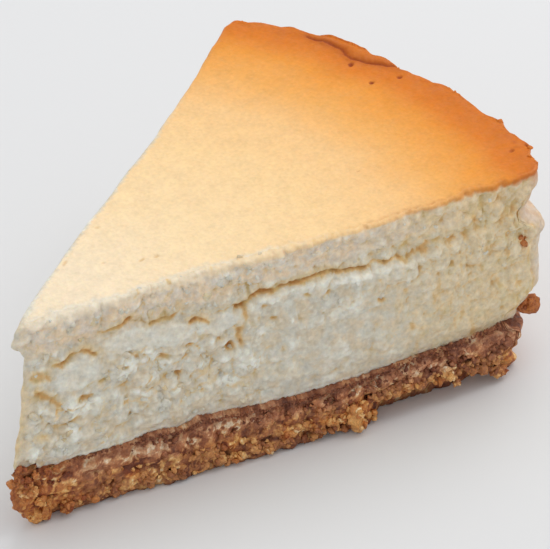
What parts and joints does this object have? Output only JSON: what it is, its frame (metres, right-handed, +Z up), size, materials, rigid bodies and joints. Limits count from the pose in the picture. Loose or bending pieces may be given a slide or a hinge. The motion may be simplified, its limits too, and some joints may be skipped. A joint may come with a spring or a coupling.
{
  "type": "cheesecake slice",
  "caption": "Wedge of baked cheesecake: cream filling with a browned top and a cracked, curdy cut face, on a base of pressed biscuit crumbs.",
  "frame": {"origin": "centre of the footprint, on the surface that the slice stands on", "axes": "+X from the slice's tip to its baked outer wall, +Z up, the cut face that the picture shows on the -Y side"},
  "size_m": [0.123, 0.088, 0.0486],
  "materials": {
    "cream": "matt, moist baked cream, browned on top",
    "crumb": "rough, pressed biscuit crumbs"
  },
  "bodies": {
    "root": {"filling": "cream", "crumb_base": "crumb"}
  },
  "joints": []
}
